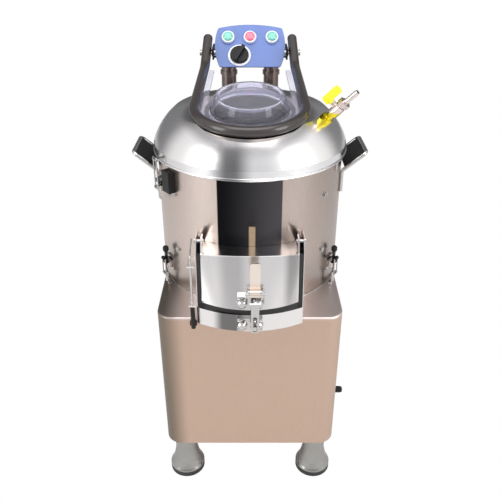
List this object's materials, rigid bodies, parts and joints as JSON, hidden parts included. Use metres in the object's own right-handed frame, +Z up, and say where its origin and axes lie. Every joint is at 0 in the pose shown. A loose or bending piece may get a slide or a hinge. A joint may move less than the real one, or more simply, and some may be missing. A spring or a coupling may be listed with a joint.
{
  "type": "potato peeler",
  "caption": "Floor-standing electric potato peeler: abrasive drum on a cabinet with bell feet, clear hinged feed cover, chute door with latch, water valve and control panel.",
  "frame": {"origin": "on the floor, on the drum's axis, at the middle of the overall box", "axes": "+Z up, -Y towards the chute door at the front, +X to the right seen from the front"},
  "size_m": [0.5, 0.608, 0.9678],
  "materials": {
    "cabinet_steel": "satin",
    "drum_steel": "satin",
    "lid_steel": "satin",
    "bright_steel": "polished",
    "dark_metal": "satin",
    "dark_plastic": "satin",
    "black_plastic": "matte",
    "panel_blue": "gloss",
    "button_teal": "gloss",
    "button_red": "gloss",
    "lever_yellow": "gloss",
    "brass_fitting": "satin",
    "clear_plastic": "clear",
    "black_rubber": "matte",
    "abrasive": "rough",
    "cast_aluminium": "cast",
    "dark_iron": "machined"
  },
  "bodies": {
    "base": {"abrasive_liner": "abrasive", "base_cabinet": "cabinet_steel", "base_floor_panel": "cabinet_steel", "bearing_housing": "cast_aluminium", "bearings": "bright_steel", "bell_feet": "cabinet_steel", "button_bezels": "bright_steel", "cable_gland": "black_plastic", "chute_body": "drum_steel", "control_box": "drum_steel", "control_faceplate": "panel_blue", "cover_seal": "black_rubber", "door_gasket": "black_rubber", "door_pins": "bright_steel", "drive_belt": "black_rubber", "drum_shell": "drum_steel", "feed_collar": "lid_steel", "foot_pads": "black_rubber", "handle_inserts": "black_plastic", "hinge_lugs": "black_plastic", "hinge_pins": "bright_steel", "hose_barb": "bright_steel", "keeper_bracket": "bright_steel", "latch_brackets": "bright_steel", "latch_keepers": "bright_steel", "lid_dome": "lid_steel", "lid_gasket": "black_rubber", "lid_safety_switch": "black_plastic", "liner_screws": "bright_steel", "motor_body": "cast_aluminium", "panel_posts": "dark_metal", "shaft_seal": "black_rubber", "side_handles": "bright_steel", "switch_sleeve": "black_plastic", "timer_housing": "bright_steel", "valve_body": "brass_fitting", "waste_pipe": "black_plastic"},
    "turning_group": {"drive_shaft": "bright_steel", "abrasive_disc": "abrasive", "driven_pulley": "cast_aluminium"},
    "motor_rotor": {"motor_pulley": "dark_iron"},
    "feed_cover": {"clear_cover": "clear_plastic", "bail_tube": "dark_plastic"},
    "chute_door": {"door_panel": "drum_steel", "door_latch_bracket": "bright_steel"},
    "door_latch_lever": {"door_lever": "bright_steel"},
    "door_latch_link": {"door_link": "bright_steel"},
    "left_toggle_lever": {"left_latch_lever": "black_plastic"},
    "left_toggle_link": {"left_latch_link": "bright_steel"},
    "right_toggle_lever": {"right_latch_lever": "black_plastic"},
    "right_toggle_link": {"right_latch_link": "bright_steel"},
    "lid_toggle_lever": {"lid_latch_lever": "bright_steel"},
    "lid_toggle_link": {"lid_latch_link": "bright_steel"},
    "start_cap": {"start_button": "button_teal"},
    "stop_cap": {"stop_button": "button_red"},
    "pulse_cap": {"pulse_button": "button_teal"},
    "timer_dial": {"timer_knob": "black_plastic"},
    "valve_handle": {"valve_lever": "lever_yellow"},
    "door_rod": {"switch_rod": "bright_steel"}
  },
  "joints": [
    {"name": "disc_spin", "type": "hinge", "parent": "base", "child": "turning_group", "pos_m": [0, 0, 0.4], "axis": [0, 0, 1], "continuous": true},
    {"name": "motor_spin", "type": "hinge", "parent": "base", "child": "motor_rotor", "pos_m": [0, -0.165, 0.34], "axis": [0, 0, 1], "continuous": true},
    {"name": "cover_swing", "type": "hinge", "parent": "base", "child": "feed_cover", "pos_m": [0, 0.198, 0.914], "axis": [-1, 0, 0], "range_deg": [0, 75]},
    {"name": "door_swing", "type": "hinge", "parent": "base", "child": "chute_door", "pos_m": [0, -0.205, 0.628], "axis": [-1, 0, 0], "range_deg": [0, 75]},
    {"name": "door_lever_turn", "type": "hinge", "parent": "chute_door", "child": "door_latch_lever", "pos_m": [0.01, -0.29, 0.556], "axis": [1, 0, 0], "range_deg": [0, 80]},
    {"name": "door_link_turn", "type": "hinge", "parent": "door_latch_lever", "child": "door_latch_link", "pos_m": [0.01, -0.298, 0.566], "axis": [1, 0, 0], "range_deg": [-80, 0]},
    {"name": "left_toggle_lever_turn", "type": "hinge", "parent": "base", "child": "left_toggle_lever", "pos_m": [-0.18446, -0.1065, 0.522], "axis": [0.5, -0.866, 0], "range_deg": [0, 90]},
    {"name": "left_toggle_link_turn", "type": "hinge", "parent": "left_toggle_lever", "child": "left_toggle_link", "pos_m": [-0.18966, -0.1095, 0.534], "axis": [0.5, -0.866, 0], "range_deg": [-90, 0]},
    {"name": "right_toggle_lever_turn", "type": "hinge", "parent": "base", "child": "right_toggle_lever", "pos_m": [0.18446, -0.1065, 0.522], "axis": [0.5, 0.866, 0], "range_deg": [0, 90]},
    {"name": "right_toggle_link_turn", "type": "hinge", "parent": "right_toggle_lever", "child": "right_toggle_link", "pos_m": [0.18966, -0.1095, 0.534], "axis": [0.5, 0.866, 0], "range_deg": [-90, 0]},
    {"name": "lid_toggle_lever_turn", "type": "hinge", "parent": "base", "child": "lid_toggle_lever", "pos_m": [-0.18807, -0.1, 0.712], "axis": [-0.4695, 0.8829, 0], "range_deg": [0, 90]},
    {"name": "lid_toggle_link_turn", "type": "hinge", "parent": "lid_toggle_lever", "child": "lid_toggle_link", "pos_m": [-0.19337, -0.10281, 0.7], "axis": [-0.4695, 0.8829, 0], "range_deg": [-90, 0]},
    {"name": "start_press", "type": "slide", "parent": "base", "child": "start_cap", "axis": [0, 0.788, -0.6157], "range_m": [0, 0.0035], "stiffness_N_per_m": 300, "springref_m": -0.001},
    {"name": "stop_press", "type": "slide", "parent": "base", "child": "stop_cap", "axis": [0, 0.788, -0.6157], "range_m": [0, 0.0035], "stiffness_N_per_m": 300, "springref_m": -0.001},
    {"name": "pulse_press", "type": "slide", "parent": "base", "child": "pulse_cap", "axis": [0, 0.788, -0.6157], "range_m": [0, 0.0035], "stiffness_N_per_m": 300, "springref_m": -0.001},
    {"name": "timer_turn", "type": "hinge", "parent": "base", "child": "timer_dial", "pos_m": [-0.025, 0.20724, 0.90556], "axis": [0, -0.788, 0.6157], "range_deg": [0, 300]},
    {"name": "valve_turn", "type": "hinge", "parent": "base", "child": "valve_handle", "pos_m": [0.17276, -0.08638, 0.85946], "axis": [-0.6326, 0.3163, 0.7069], "range_deg": [0, 90]},
    {"name": "rod_slide", "type": "slide", "parent": "base", "child": "door_rod", "axis": [0, 0, 1], "range_m": [0, 0.01]}
  ],
  "couplings": [
    {"joint": "motor_spin", "follows": "disc_spin", "ratio": 4.0385},
    {"joint": "door_link_turn", "follows": "door_lever_turn", "ratio": -1},
    {"joint": "left_toggle_link_turn", "follows": "left_toggle_lever_turn", "ratio": -1},
    {"joint": "right_toggle_link_turn", "follows": "right_toggle_lever_turn", "ratio": -1},
    {"joint": "lid_toggle_link_turn", "follows": "lid_toggle_lever_turn", "ratio": -1},
    {"joint": "rod_slide", "follows": "door_swing", "m_per_rad": 0.0076}
  ]
}
